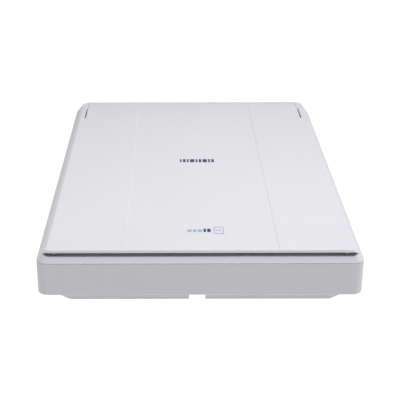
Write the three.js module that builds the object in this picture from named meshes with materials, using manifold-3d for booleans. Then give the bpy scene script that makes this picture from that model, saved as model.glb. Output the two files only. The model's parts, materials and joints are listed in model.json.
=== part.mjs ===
// Flatbed document scanner, A4, with a contact image sensor.
// Millimetres, +Z up, +X right, +Y to the back. Origin: bottom centre, on the surface it stands on.
import * as THREE from 'three';
import { mergeVertices } from 'three/addons/utils/BufferGeometryUtils.js';
import Module from 'manifold-3d';

const wasm = await Module();
wasm.setup();

// ---------------------------------------------------------------- driving dimensions
const HALF_WIDTH = 127;
const HALF_DEPTH = 186;
const CORNER_R = 8;
const LEAST_CORNER_R = 0.6;
const GAP = 0.3; // clearance between pieces that touch
const LAP = 0.2; // how far joined shapes run into each other
const WALL = 2.5;
const FLOOR = 2;
const ABOVE = 50; // past the top of the object, for cutting tools
const HOLE_R = 1.5; // clear hole for a small screw or a pin

const PLINTH_BOTTOM = 1.1;
const WALL_BOTTOM = 5.45;
const SPLIT_Z = 32.7; // joint between the lower housing and the upper frame
const DECK_Z = 37.3; // flat rim round the glass
const RIDGE_Z = 38.6; // top of the bevelled outer rim
const LID_EDGE_Z = 39.1;
const LID_TOP_Z = 42.8;

const BOTTOM_FILLET = 1;
const PLINTH = { end: 184, halfTop: 110.4, halfBottom: 101.4, skin: 2.2, endWall: 2 };
const NOTCH = { x: [-8.6, 4.3], back: -171, top: 5.3, skin: 2.2 };
const FOOT = { r: 6.5, x: 88, y: 166, top: 1.6, chamfer: 0.5 };
const PILLAR = { r: 4.2, x: 120.8, ys: [-150, 0, 150], top: 30, bore: 1.7, sinkR: 3.1, sinkTop: 8.7 };

// rim of the upper frame: the bevel's run is a share of its height
const BEVEL = { kneeDrop: 0.4, kneeRun: 0.72, topRun: 0.84 };
const TONGUE = { inset: WALL + GAP, thickness: 1.5, drop: 0.4 };
const LID_BED_INSET = 5.8; // from the outer wall to the bed that the lid lies in
const LEDGE = { flatHalf: 118, ridgeHalf: 121.5, back: -178 }; // finger gap in the front rim
const WINDOW = { x: 108, y: [-165, 129] };
const GLASS = { x: 112, y: [-175.2, 139.2], z: [32.8, 35.6] };
const STRIP = { x: 104, y: [-174.6, -166.4], z: [32.2, 32.5] };

// hinge: posts that slide up out of closed sockets, and a pin through each into the lid
const HINGE = { y: 177.5, z: 39.5, pinR: 1.5, pinX: [106.5, 119], knuckleR: 2.9, knuckleX: 104 };
const TROUGH = { r: 8.8, shell: 2, x: 113.4 };
const EAR = { slot: [113, 114.4], front: 129.3, slotEnd: 160 }; // the slot narrows to a gap at its end
const POST = { x: [114.8, 119.6], y: [170.5, 181.5], bottom: 13 };
const HINGE_SOCKET = { x: [112.9, 122.5], y: [168.6, 184], bottom: 11, floor: 12.5 };

// lid: one row for each level of its outer form, from its edge up
const LID_LEVELS = [
  { z: LID_EDGE_Z, side: 122.4, front: -182.6, back: 184.6, r: 4.5, rearR: 9 },
  { z: 40.6, side: 121.3, front: -182.6, back: 185, r: 4.2, rearR: 8.7 },
  { z: 41.9, side: 120, front: -182.2, back: 184.9, r: 3.8, rearR: 8.2 },
  { z: 42.5, side: 119.2, front: -181.7, back: 184.2, r: 3.4, rearR: 7.6 },
  { z: LID_TOP_Z, side: 118, front: -180.8, back: 183, r: 2.8, rearR: 6.8 },
];
const ROLL_DOWN = { y: [168, 190], drop: 1.1 }; // slope along the rear edge of the lid
const LID_CAVITY = { x: 118.4, front: -180.6, top: 41.2, rearX: EAR.slot[0] - 1.8, rear: 182.9 };
const LIP_GAP = { halfBottom: 121.9, halfTop: 119.2, z: [38.9, 40.5], back: -178 };
const BAND = { x: [-58.3, 60.8], front: -179.6, depth: 0.4, run: 0.6 }; // shallow band along the lid
const REAR_SKIRT = { y: [182.7, 184.6], z: [35.7, 40] };
const MAT = { x: 106, y: [-163, 127], z: [36, 36.4] };
const FOAM_Z = [36.7, 40.9];
const BUMPER = { x: [111.7, 114.3], y: [-181.4, -178.4], z: [38.3, 40.2] };

// scanning carriage: its line of sight at home, and the rod and belt it runs on
const HOME_Y = -170.5;
const CARRIAGE = { x: 115.5, half: 9.5, floor: [14.4, 16.2], top: 24, wall: 1.6, sleeveR: 5.2 };
const JAW = { y: 5, near: 0.9, far: 2.9 }; // the two jaws that clamp the belt's inner run
const ROD = { x: 14, z: 9.6, r: 3, y: [-180.7, 146.7] };
const ROD_SEATS = [[-181.2, -177.4], [143, 147]];
const ROD_CRADLE = { x: [8.5, 19.5], top: 14 };
const SENSOR = { x: 112.5, half: 7.3, z: [20.2, 31.6] };
const SENSOR_BAY_X = 106.3; // half-length of the bays for the lens array and light guide

// drive: motor pinion, reduction gear, drive pulley, belt, idler pulley
const TOOTH = 0.6; // gear module
const TEETH = { pinion: 10, large: 38, small: 14, drive: 40 };
const AXIS_Y = 162;
const DRIVE_X = -34;
const IDLER_Y = -173;
const MESH_SLACK = 0.1;
const REDUCTION_X = DRIVE_X - (TOOTH * (TEETH.small + TEETH.drive)) / 2 - MESH_SLACK;
const MOTOR_X = REDUCTION_X - (TOOTH * (TEETH.pinion + TEETH.large)) / 2 - MESH_SLACK;
const BELT = { inner: 6, outer: 7.2, z: [7.5, 11.5] };
const PULLEY = { core: 5.7, flange: 7.6, z: [6.4, 12.6], flangeT: 0.8, bore: 1.8 };
const HUB = { r: 3.2, z: [12.4, 17.6] };
const GEAR_Z = { drive: [17.5, 20.3], large: [15.4, 17.1], small: [17, 20.5], pinion: [15.3, 17.8] };
const AXLE = { r: 1.5, z: [4.5, 21.5] };
const REDUCTION_PIN = { r: 1.2, z: [14, 21.2] };
const MOTOR_SHAFT = { r: 1, z: [8.4, 18.2] };
const MOTOR = { r: 17.5, z: [3.6, 13.6] };
const BRACKET = { x: [-94, -24], y: [-13, 15], z: [14, 15], cornerR: 4 };
const TENSIONER = { half: 8, y: [-7.4, 23], z: [3.6, 5], pinTop: 13.2 };
const TAIL = { half: 3.2, thickness: 1.4, top: 8.5 };
const SPRING_SEAT = { x: [-37, -31], y: [-140, -137.5], top: 9 };

const BOARD = { x: [22, 108], y: [148, 179], z: [7.3, 8.9] };
const CONNECTOR = { x: [30, 58], y: [149, 154], z: [9.2, 12.4] };
const CONNECTOR_MOUTH = { x: [31.6, 56.4], y: [148, 151], z: [10, 11.5] };
const SOCKET = { x: [80, 92], y: [169.4, 185.8], z: [9.2, 20], wall: 1.2, depth: 175 };
const RIBBON = { x: [32, 56], thickness: 0.3, steps: 60 };

// heads are 1.3 to 1.9 mm thick and their screws run down from them
const CASE_SCREW = { headR: 2.8, headT: 1.9, shankR: 1.4, length: 26.5 };
const CASE_SCREW_Z = 8.4;
const BOARD_SCREW = { headR: 2.3, headT: 1.4, shankR: 1.2, length: 3.6 };
const MOTOR_SCREW = { headR: 2.3, headT: 1.3, shankR: 1.2, length: 4.8 };
const BRACKET_SCREW = { headR: 2.3, headT: 1.3, shankR: 1.2, length: 6.5 };

// ---------------------------------------------------------------- shape helpers
function solid(geometry) {
  const bare = geometry.clone();
  bare.deleteAttribute('normal');
  bare.deleteAttribute('uv');
  const merged = mergeVertices(bare, 1e-4);
  return new wasm.Manifold(new wasm.Mesh({
    numProp: 3,
    vertProperties: new Float32Array(merged.attributes.position.array),
    triVerts: new Uint32Array(merged.index.array),
  }));
}

function surface(manifold) {
  const mesh = manifold.getMesh();
  const geometry = new THREE.BufferGeometry();
  geometry.setAttribute('position', new THREE.BufferAttribute(mesh.vertProperties, 3));
  geometry.setIndex(new THREE.BufferAttribute(mesh.triVerts, 1));
  return geometry;
}

const join = (...parts) => parts.reduce((whole, part) => whole.add(part));
const cut = (whole, ...tools) => tools.reduce((rest, tool) => rest.subtract(tool), whole);

function block([x0, x1], [y0, y1], [z0, z1]) {
  const geometry = new THREE.BoxGeometry(x1 - x0, y1 - y0, z1 - z0);
  return solid(geometry.translate((x0 + x1) / 2, (y0 + y1) / 2, (z0 + z1) / 2));
}

// a round bar along one axis; at holds its place on the other two axes, in X, Y, Z order
function bar(axis, r, [from, to], [a, b], sides = 24) {
  const geometry = new THREE.CylinderGeometry(r, r, to - from, sides);
  const middle = (from + to) / 2;
  if (axis === 'x') geometry.rotateZ(-Math.PI / 2).translate(middle, a, b);
  if (axis === 'y') geometry.translate(a, middle, b);
  if (axis === 'z') geometry.rotateX(Math.PI / 2).translate(a, b, middle);
  return solid(geometry);
}

// counter-clockwise outline of a rectangle with round corners
function roundedOutline(halfX, front, back, r, rearR = r) {
  const steps = 6;
  const corners = [
    [halfX - rearR, back - rearR, rearR, 0],
    [-halfX + rearR, back - rearR, rearR, 90],
    [-halfX + r, front + r, r, 180],
    [halfX - r, front + r, r, 270],
  ];
  return corners.flatMap(([cx, cy, radius, start]) =>
    Array.from({ length: steps + 1 }, (_, i) => {
      const angle = THREE.MathUtils.degToRad(start + (90 * i) / steps);
      return new THREE.Vector2(cx + radius * Math.cos(angle), cy + radius * Math.sin(angle));
    }));
}

// closed body through a stack of convex outlines with equal point counts
function loft(levels) {
  const count = levels[0].outline.length;
  const position = levels.flatMap(({ z, outline }) => outline.flatMap((p) => [p.x, p.y, z]));
  const index = [];
  for (let level = 0; level < levels.length - 1; level += 1) {
    for (let i = 0; i < count; i += 1) {
      const a = level * count + i;
      const b = level * count + ((i + 1) % count);
      index.push(a, b, b + count, a, b + count, a + count);
    }
  }
  const last = (levels.length - 1) * count;
  for (let i = 1; i < count - 1; i += 1) {
    index.push(0, i + 1, i, last, last + i, last + i + 1);
  }
  const geometry = new THREE.BufferGeometry();
  geometry.setAttribute('position', new THREE.Float32BufferAttribute(position, 3));
  geometry.setIndex(index);
  return solid(geometry);
}

// a rounded-rectangle level, set in by the same amount on all four sides
function insetLevel(z, inset) {
  const r = Math.max(CORNER_R - inset, LEAST_CORNER_R);
  return { z, outline: roundedOutline(HALF_WIDTH - inset, -HALF_DEPTH + inset, HALF_DEPTH - inset, r) };
}

const insetPrism = (inset, [z0, z1]) => loft([insetLevel(z0, inset), insetLevel(z1, inset)]);

function extrude(points, depth) {
  const shape = new THREE.Shape(points.map(([x, y]) => new THREE.Vector2(x, y)));
  return new THREE.ExtrudeGeometry(shape, { depth, bevelEnabled: false });
}

// outline in X and Z, run along Y
const prismY = (points, [y0, y1]) =>
  solid(extrude(points, y1 - y0).rotateX(Math.PI / 2).translate(0, y1, 0));

// outline in Y and Z, run along X
const prismX = (points, [x0, x1]) =>
  solid(extrude(points, x1 - x0).rotateZ(Math.PI / 2).rotateY(Math.PI / 2).translate(x0, 0, 0));

const mirrorX = (points) => [...points, ...points.map(([x, z]) => [-x, z]).reverse()];

// spur gear with straight-sided teeth; a shift of 0.5 puts a gap, not a tooth, on +X
function gear(teeth, [z0, z1], shift = 0) {
  const pitchR = (TOOTH * teeth) / 2;
  const rootR = pitchR - 1.15 * TOOTH;
  const tipR = pitchR + 0.75 * TOOTH;
  const points = [];
  for (let tooth = 0; tooth < teeth; tooth += 1) {
    for (const [share, r] of [[-0.32, rootR], [-0.1, tipR], [0.1, tipR], [0.32, rootR]]) {
      const angle = ((tooth + shift + share) / teeth) * 2 * Math.PI;
      points.push([r * Math.cos(angle), r * Math.sin(angle)]);
    }
  }
  return solid(extrude(points, z1 - z0).translate(0, 0, z0));
}

function coil({ r, wire, turns, length, steps = 10 }) {
  class Helix extends THREE.Curve {
    getPoint(t, target = new THREE.Vector3()) {
      const angle = t * turns * 2 * Math.PI;
      return target.set(r * Math.cos(angle), r * Math.sin(angle), wire + t * (length - 2 * wire));
    }
  }
  const section = new THREE.Shape(Array.from({ length: 6 }, (_, i) =>
    new THREE.Vector2(wire * Math.cos((i * Math.PI) / 3), wire * Math.sin((i * Math.PI) / 3))));
  return solid(new THREE.ExtrudeGeometry(section, { steps: turns * steps, extrudePath: new Helix() }));
}

// button-head screw, head underside at z = 0, shank along -Z
function screw({ headR, headT, shankR, length }) {
  const profile = [[0, -length], [shankR, -length], [shankR, 0], [headR, 0], [headR, headT * 0.5],
    [headR * 0.7, headT], [0, headT]];
  return solid(new THREE.LatheGeometry(profile.map(([x, y]) => new THREE.Vector2(x, y)), 16)
    .rotateX(Math.PI / 2));
}

// ---------------------------------------------------------------- materials and the scene graph
const finish = (color, roughness, metalness = 0) =>
  new THREE.MeshStandardMaterial({ color, roughness, metalness });
const FINISH = {
  case: () => finish('#d3d2d7', 0.5),
  lid: () => finish('#e6e5ea', 0.45),
  inner: () => finish('#2b2c2f', 0.6),
  gear: () => finish('#e9e6da', 0.5),
  steel: () => finish('#b9bcc0', 0.3, 1),
  brass: () => finish('#c8a45a', 0.35, 1),
  rubber: () => finish('#3a3a3c', 0.9),
  glass: () => finish('#cfe0dc', 0.05),
  board: () => finish('#1f6b45', 0.55),
  white: () => finish('#f4f4f2', 0.8),
  foam: () => finish('#dcdcd8', 0.95),
};

function piece(name, material, manifold, parent, place = [0, 0, 0]) {
  const mesh = new THREE.Mesh(surface(manifold), FINISH[material]());
  mesh.name = name;
  mesh.position.set(...place);
  parent.add(mesh);
  return mesh;
}

const SIDES = [['left', -1], ['right', 1]];
const both = ([a, b], sign) => (sign > 0 ? [a, b] : [-b, -a]);
const pillarSpots = PILLAR.ys.flatMap((y) => [[-PILLAR.x, y], [PILLAR.x, y]]);
const footSpots = [[-1, -1], [1, -1], [-1, 1], [1, 1]].map(([sx, sy]) => [sx * FOOT.x, sy * FOOT.y]);
const boardSpots = [[27, 153], [103, 153]];
const bracketSpots = [[-89, AXIS_Y], [-27.5, AXIS_Y + 12.5]];
const motorScrewSpots = [-8.5, 8.5].map((dy) => [MOTOR_X, AXIS_Y + dy]);
const springSpots = SIDES.map(([, sign]) => [sign * 60, 0, CARRIAGE.floor[1] + GAP]);

const holes = (spots, span, r = HOLE_R, sides = 12) => spots.map((at) => bar('z', r, span, at, sides));

// ---------------------------------------------------------------- lower housing
function outerWall() {
  const levels = [0, 1, 2, 3].map((step) => {
    const angle = (step / 3) * (Math.PI / 2);
    const rise = BOTTOM_FILLET * (1 - Math.cos(angle));
    return insetLevel(WALL_BOTTOM + rise, BOTTOM_FILLET * (1 - Math.sin(angle)));
  });
  return loft([...levels, insetLevel(SPLIT_Z, 0)]);
}

// trapezoid foot of the housing, raised by lift for its inside
function plinth(lift, end) {
  const top = WALL_BOTTOM + lift;
  const profile = mirrorX([[PLINTH.halfBottom, PLINTH_BOTTOM + lift], [PLINTH.halfTop, top],
    [PLINTH.halfTop, top + LAP]]);
  return prismY(profile.reverse(), [-end, end]);
}

function lowerHousing() {
  const low = PLINTH_BOTTOM + FLOOR - LAP; // where what stands on the floor starts
  const ribStart = WALL_BOTTOM + 1;
  const shell = cut(
    join(outerWall(), plinth(0, PLINTH.end)),
    insetPrism(WALL, [WALL_BOTTOM + FLOOR, SPLIT_Z + 1]),
    plinth(PLINTH.skin, PLINTH.end - PLINTH.endWall),
  );
  const body = join(
    shell,
    block([NOTCH.x[0] - NOTCH.skin, NOTCH.x[1] + NOTCH.skin],
      [-PLINTH.end + 1.5, NOTCH.back + NOTCH.skin], [PLINTH_BOTTOM, NOTCH.top + NOTCH.skin]),
    ...pillarSpots.map((at) => bar('z', PILLAR.r, [ribStart, PILLAR.top], at)),
    ...pillarSpots.map(([x, y]) =>
      block(both([PILLAR.x, HALF_WIDTH - FLOOR], x), [y - 1, y + 1], [ribStart, PILLAR.top])),
    ...ROD_SEATS.map((span) => block(ROD_CRADLE.x, span, [low, ROD.z])),
    block(SPRING_SEAT.x, SPRING_SEAT.y, [low, SPRING_SEAT.top]),
    bar('z', 4, [low, PULLEY.z[0] - 0.5], [DRIVE_X, AXIS_Y]),
    ...bracketSpots.map((at) => bar('z', 2.8, [low, BRACKET.z[0] - GAP], at, 16)),
    ...boardSpots.map((at) => bar('z', 3, [low, BOARD.z[0] - GAP], at, 16)),
  );
  return cut(
    body,
    block(NOTCH.x, [-HALF_DEPTH, NOTCH.back], [0, NOTCH.top]),
    block([SOCKET.x[0] - GAP, SOCKET.x[1] + GAP], [180, HALF_DEPTH + 1],
      [SOCKET.z[0] - GAP, SOCKET.z[1] + GAP]),
    bar('y', ROD.r + GAP, [ROD.y[0] - GAP, ROD.y[1] + 1], [ROD.x, ROD.z]),
    bar('z', PULLEY.bore, [AXLE.z[0] - GAP, PULLEY.z[1]], [DRIVE_X, AXIS_Y]),
    ...holes(footSpots, [0, FOOT.top + GAP], FOOT.r + GAP, 24),
    ...holes(pillarSpots, [5, PILLAR.top + 1], PILLAR.bore, 16),
    ...holes(pillarSpots, [5, PILLAR.sinkTop], PILLAR.sinkR, 16),
    ...holes(bracketSpots, [8, BRACKET.z[1]]),
    ...holes(boardSpots, [5, BOARD.z[0] + GAP]),
  );
}

// ---------------------------------------------------------------- upper frame
function upperFrame() {
  const bottom = SPLIT_Z + GAP;
  const rise = RIDGE_Z - bottom;
  const slope = loft([
    insetLevel(bottom, 0),
    insetLevel(RIDGE_Z - BEVEL.kneeDrop, rise * BEVEL.kneeRun),
    insetLevel(RIDGE_Z, rise * BEVEL.topRun),
  ]);
  const inside = insetPrism(WALL + 0.4, [10, bottom + LAP]); // what hangs down stays within this
  const tongue = cut(
    insetPrism(TONGUE.inset, [PILLAR.top + TONGUE.drop, bottom + LAP]),
    insetPrism(TONGUE.inset + TONGUE.thickness, [PILLAR.top, bottom + 1]),
  );
  const sockets = SIDES.map(([, sign]) =>
    block(both(HINGE_SOCKET.x, sign), HINGE_SOCKET.y, [HINGE_SOCKET.bottom, bottom + LAP]).intersect(inside));
  const troughAxis = [HINGE.y, HINGE.z];
  const trough = bar('x', TROUGH.r + TROUGH.shell, [-TROUGH.x, TROUGH.x], troughAxis, 48).intersect(inside);
  const studs = pillarSpots.map((at) =>
    bar('z', PILLAR.r, [PILLAR.top + GAP, bottom + LAP], at).intersect(inside));
  const ledge = prismY(mirrorX([[LEDGE.flatHalf, DECK_Z], [LEDGE.ridgeHalf, RIDGE_Z + 0.1],
    [LEDGE.ridgeHalf, ABOVE]]), [-HALF_DEPTH - 4, LEDGE.back]);
  return cut(
    join(slope, tongue, trough, ...sockets, ...studs),
    ledge,
    insetPrism(LID_BED_INSET, [DECK_Z, ABOVE]),
    block([-WINDOW.x, WINDOW.x], WINDOW.y, [20, ABOVE]),
    block([-GLASS.x - GAP, GLASS.x + GAP], [GLASS.y[0] - GAP, GLASS.y[1] + GAP], [20, GLASS.z[1] + GAP]),
    bar('x', TROUGH.r, [-TROUGH.x - 0.1, TROUGH.x + 0.1], troughAxis, 48),
    ...SIDES.map(([, sign]) => block(both([POST.x[0] - GAP, POST.x[1] + GAP], sign),
      [POST.y[0] - GAP, POST.y[1] + GAP], [HINGE_SOCKET.floor, ABOVE])),
    ...holes(pillarSpots, [20, 36], PILLAR.bore, 16),
  );
}

// ---------------------------------------------------------------- lid
// outer form of the closed lid, its corner ears included
function lidForm() {
  const form = loft(LID_LEVELS.map(({ z, side, front, back, r, rearR }) =>
    ({ z, outline: roundedOutline(side, front, back, r, rearR) })));
  const [start, end] = ROLL_DOWN.y;
  const rollDown = prismX([[start, LID_TOP_Z], [end, LID_TOP_Z - ROLL_DOWN.drop], [end, ABOVE],
    [start, ABOVE]], [-130, 130]);
  return form.subtract(rollDown);
}

function lidCover() {
  const slotX = EAR.slot[0];
  const [lipLow, lipHigh] = LIP_GAP.z;
  const lipGap = prismY([[-LIP_GAP.halfBottom, lipLow], [LIP_GAP.halfBottom, lipLow],
    [LIP_GAP.halfTop, lipHigh], [-LIP_GAP.halfTop, lipHigh]], [-190, LIP_GAP.back]);
  const [bandLeft, bandRight] = BAND.x;
  const bandFloor = LID_TOP_Z - BAND.depth;
  const band = prismY([[bandLeft, bandFloor], [bandRight, bandFloor], [bandRight + BAND.run, LID_TOP_Z],
    [bandRight + BAND.run, ABOVE], [bandLeft - BAND.run, ABOVE], [bandLeft - BAND.run, LID_TOP_Z]],
  [BAND.front, 190]);
  const panel = cut(
    lidForm(),
    block([-LID_CAVITY.x, LID_CAVITY.x], [LID_CAVITY.front, EAR.front - 2], [30, LID_CAVITY.top]),
    block([-LID_CAVITY.rearX, LID_CAVITY.rearX], [-180, LID_CAVITY.rear], [30, LID_CAVITY.top]),
    lipGap,
    band,
    ...SIDES.map(([, sign]) => block(both([slotX, 130], sign), [EAR.front - GAP, 190], [30, ABOVE])),
  );
  const knuckles = SIDES.map(([, sign]) =>
    bar('x', HINGE.knuckleR, both([HINGE.knuckleX, slotX], sign), [HINGE.y, HINGE.z]));
  const pinHoles = SIDES.map(([, sign]) =>
    bar('x', HINGE.pinR + GAP, both([HINGE.pinX[0] - 0.5, slotX + 1], sign), [HINGE.y, HINGE.z], 16));
  return cut(join(panel, block([-slotX, slotX], REAR_SKIRT.y, REAR_SKIRT.z), ...knuckles), ...pinHoles);
}

function hingePost(sign) {
  const ear = lidForm().intersect(join(
    block(both([EAR.slot[1], 130], sign), [EAR.front, 190], [30, ABOVE]),
    block(both([EAR.slot[0] + GAP, 130], sign), [EAR.slotEnd, 190], [30, ABOVE]),
  ));
  const post = block(both(POST.x, sign), POST.y, [POST.bottom, LID_EDGE_Z + 1]);
  const pinHole = bar('x', HINGE.pinR + GAP, both([110, HINGE.pinX[1] + GAP], sign), [HINGE.y, HINGE.z], 16);
  return cut(join(ear, post), pinHole);
}

// ---------------------------------------------------------------- carriage and sensor
// both are drawn about the sensor's line of sight, at y = 0
function carriageFrame() {
  const { x, half, floor, top, wall, sleeveR } = CARRIAGE;
  const runX = DRIVE_X + (BELT.inner + BELT.outer) / 2;
  const jawZ = [BELT.z[0] - LAP, floor[0] + LAP];
  const jaws = [[-JAW.far, -JAW.near], [JAW.near, JAW.far]].map(([from, to]) =>
    block([runX + from, runX + to], [JAW.y, half], jawZ));
  const tray = cut(block([-x, x], [-half, half], [floor[0], top]),
    block([-x + wall, x - wall], [-half + wall, half - wall], [floor[1], top + 1]));
  const sleeve = bar('y', sleeveR, [-6.5, half], [ROD.x, ROD.z]);
  return cut(join(tray, sleeve, ...jaws), bar('y', ROD.r + GAP, [-20, 20], [ROD.x, ROD.z]));
}

function sensorHousing() {
  const { x, half, z } = SENSOR;
  return cut(
    block([-x, x], [-half, half], z),
    block([-109, 109], [-5.5, 5.5], [30.2, ABOVE]), // seat of the cover glass
    block([-SENSOR_BAY_X, SENSOR_BAY_X], [-1.3, 1.3], [22.5, 31]), // lens array
    block([-SENSOR_BAY_X, SENSOR_BAY_X], [1.9, 5.3], [26.5, 31]), // light guide
    block([-108, 108], [-5.9, 5.9], [10, 22.7]), // sensor board
  );
}

// ---------------------------------------------------------------- drive
function pulley() {
  const { core, flange, z, flangeT } = PULLEY;
  return join(
    bar('z', core, z, [0, 0], 32),
    bar('z', flange, [z[0], z[0] + flangeT], [0, 0], 32),
    bar('z', flange, [z[1] - flangeT, z[1]], [0, 0], 32),
  );
}

// a bore right through a piece on its own axis
const bored = (body, r) => cut(body, bar('z', r, [0, 30], [0, 0], 16));

const drivePulley = () =>
  bored(join(pulley(), bar('z', HUB.r, HUB.z, [0, 0]), gear(TEETH.drive, GEAR_Z.drive, 0.5)), PULLEY.bore);

const reductionGear = () =>
  bored(join(gear(TEETH.large, GEAR_Z.large), gear(TEETH.small, GEAR_Z.small)), REDUCTION_PIN.r + GAP);

function timingBelt() {
  const track = (r) => {
    const path = new THREE.Shape();
    path.absarc(DRIVE_X, AXIS_Y, r, 0, Math.PI, false);
    path.absarc(DRIVE_X, IDLER_Y, r, Math.PI, 2 * Math.PI, false);
    return path;
  };
  const shape = track(BELT.outer);
  shape.holes.push(track(BELT.inner));
  const depth = BELT.z[1] - BELT.z[0];
  const geometry = new THREE.ExtrudeGeometry(shape, { depth, bevelEnabled: false, curveSegments: 24 });
  return solid(geometry.translate(0, 0, BELT.z[0]));
}

// sliding plate that carries the idler pulley on a pin; its spring pushes on the upturned tail
function tensionerBracket() {
  const { half, y, z, pinTop } = TENSIONER;
  return join(
    block([-half, half], y, z),
    block([-TAIL.half, TAIL.half], [y[1] - TAIL.thickness, y[1]], [z[0], TAIL.top]),
    bar('z', HOLE_R, [z[1] - LAP, pinTop], [0, 0], 16),
  );
}

function motorBracket() {
  const [left, right] = BRACKET.x;
  const outline = roundedOutline((right - left) / 2, ...BRACKET.y, BRACKET.cornerR);
  const plate = loft(BRACKET.z.map((z) => ({ z, outline }))).translate([(left + right) / 2, AXIS_Y, 0]);
  const through = [10, 20];
  return cut(
    plate,
    bar('z', 5, through, [MOTOR_X, AXIS_Y]),
    bar('z', HUB.r + 1, through, [DRIVE_X, AXIS_Y]),
    bar('z', REDUCTION_PIN.r + GAP, through, [REDUCTION_X, AXIS_Y], 16),
    ...holes([...motorScrewSpots, ...bracketSpots], through),
  );
}

function motorBody() {
  const can = bar('z', MOTOR.r, MOTOR.z, [MOTOR_X, AXIS_Y], 40);
  const shaftHole = bar('z', MOTOR_SHAFT.r + GAP, [MOTOR_SHAFT.z[0] - 0.4, 20], [MOTOR_X, AXIS_Y], 16);
  return cut(can, shaftHole, ...holes(motorScrewSpots, [10, 20]));
}

// ribbon cable seen from the side: out of the board, down, along the floor, up to the carriage
function ribbonCable() {
  const route = [[148.6, 10.7], [145, 10.2], [141.5, 6.6], [137.5, 4.4], [132, 3.9], [126, 3.9], [118, 3.9],
    [0, 3.9], [-132, 3.9], [-140, 3.9], [-147, 4.3], [-153, 7], [-157.5, 11.6], [-163, 13.9]];
  const points = route.map(([y, z]) => new THREE.Vector3(0, y, z));
  const path = new THREE.CatmullRomCurve3(points, false, 'centripetal');
  const spine = path.getPoints(RIBBON.steps);
  const edge = (side) => spine.map((point, i) => {
    const tangent = path.getTangent(i / RIBBON.steps);
    const reach = (side * RIBBON.thickness) / 2;
    return [point.y - reach * tangent.z, point.z + reach * tangent.y];
  });
  return prismX([...edge(1), ...edge(-1).reverse()].reverse(), RIBBON.x);
}

// a screw for each spot, heads up
function screws(name, size, spots, z, parent) {
  spots.forEach(([x, y], i) => piece(`${name}_${i + 1}`, 'steel', screw(size), parent, [x, y, z]));
}

// ---------------------------------------------------------------- assembly
const scanner = new THREE.Group();
const base = new THREE.Group();
const drive = new THREE.Group();
const carriage = new THREE.Group();
const lid = new THREE.Group();
carriage.position.y = HOME_Y;
scanner.add(base, drive, carriage, lid);

piece('lower_housing', 'case', lowerHousing(), base);
piece('upper_frame', 'case', upperFrame(), base);
piece('scan_glass', 'glass', block([-GLASS.x, GLASS.x], GLASS.y, GLASS.z), base);
piece('calibration_strip', 'white', block([-STRIP.x, STRIP.x], STRIP.y, STRIP.z), base);
footSpots.forEach(([x, y], i) => {
  const levels = [[0, FOOT.chamfer], [FOOT.chamfer, 0], [FOOT.top, 0]];
  const foot = loft(levels.map(([z, inset]) => {
    const r = FOOT.r - inset;
    return { z, outline: roundedOutline(r, -r, r, r) };
  }));
  piece(`rubber_foot_${i + 1}`, 'rubber', foot, base, [x, y, 0]);
});
pillarSpots.forEach(([x, y], i) => {
  const mesh = piece(`case_screw_${i + 1}`, 'steel', screw(CASE_SCREW), base, [x, y, CASE_SCREW_Z]);
  mesh.rotation.x = Math.PI;
});
piece('guide_rod', 'steel', bar('y', ROD.r, ROD.y, [0, 0]), base, [ROD.x, 0, ROD.z]);
ROD_SEATS.forEach((span, i) => {
  const clip = cut(block(ROD_CRADLE.x, span, [ROD.z + GAP, ROD_CRADLE.top]),
    bar('y', ROD.r + GAP, [span[0] - 1, span[1] + 1], [ROD.x, ROD.z]));
  piece(['rod_clip_front', 'rod_clip_rear'][i], 'inner', clip, base);
});

const board = block(BOARD.x, BOARD.y, BOARD.z);
piece('main_board', 'board', cut(board, ...holes(boardSpots, [5, 12])), base);
screws('board_screw', BOARD_SCREW, boardSpots, BOARD.z[1] + GAP, base);
piece('cable_connector', 'white', cut(block(CONNECTOR.x, CONNECTOR.y, CONNECTOR.z),
  block(CONNECTOR_MOUTH.x, CONNECTOR_MOUTH.y, CONNECTOR_MOUTH.z)), base);
const shrink = ([low, high]) => [low + SOCKET.wall, high - SOCKET.wall];
piece('usb_socket', 'steel', cut(block(SOCKET.x, SOCKET.y, SOCKET.z),
  block(shrink(SOCKET.x), [SOCKET.depth, 190], shrink(SOCKET.z))), base);
piece('ribbon_cable', 'white', ribbonCable(), base);

piece('timing_belt', 'rubber', timingBelt(), drive);
piece('idler_pulley', 'gear', bored(pulley(), PULLEY.bore), drive, [DRIVE_X, IDLER_Y, 0]);
piece('tensioner_bracket', 'steel', tensionerBracket(), drive, [DRIVE_X, IDLER_Y, 0]);
const springStart = IDLER_Y + TENSIONER.y[1] + GAP + 0.05;
const tensionCoil = coil({ r: 2, wire: 0.3, turns: 6, length: SPRING_SEAT.y[0] - springStart - 0.35 });
const tensionSpring = piece('tensioner_spring', 'steel', tensionCoil, drive, [DRIVE_X, springStart, 6.2]);
tensionSpring.rotation.x = -Math.PI / 2;
piece('drive_pulley', 'gear', drivePulley(), drive, [DRIVE_X, AXIS_Y, 0]);
piece('drive_axle', 'steel', bar('z', AXLE.r, AXLE.z, [0, 0], 16), drive, [DRIVE_X, AXIS_Y, 0]);
piece('reduction_gear', 'gear', reductionGear(), drive, [REDUCTION_X, AXIS_Y, 0]);
const reductionPin = bar('z', REDUCTION_PIN.r, REDUCTION_PIN.z, [0, 0], 16);
piece('reduction_pin', 'steel', reductionPin, drive, [REDUCTION_X, AXIS_Y, 0]);
piece('motor_bracket', 'steel', motorBracket(), drive);
piece('motor_body', 'steel', motorBody(), drive);
const motorShaft = bar('z', MOTOR_SHAFT.r, MOTOR_SHAFT.z, [0, 0], 16);
piece('motor_shaft', 'steel', motorShaft, drive, [MOTOR_X, AXIS_Y, 0]);
const motorPinion = bored(gear(TEETH.pinion, GEAR_Z.pinion, 0.5), MOTOR_SHAFT.r + GAP);
piece('motor_pinion', 'brass', motorPinion, drive, [MOTOR_X, AXIS_Y, 0]);
screws('motor_screw', MOTOR_SCREW, motorScrewSpots, BRACKET.z[1] + GAP, drive);
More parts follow.
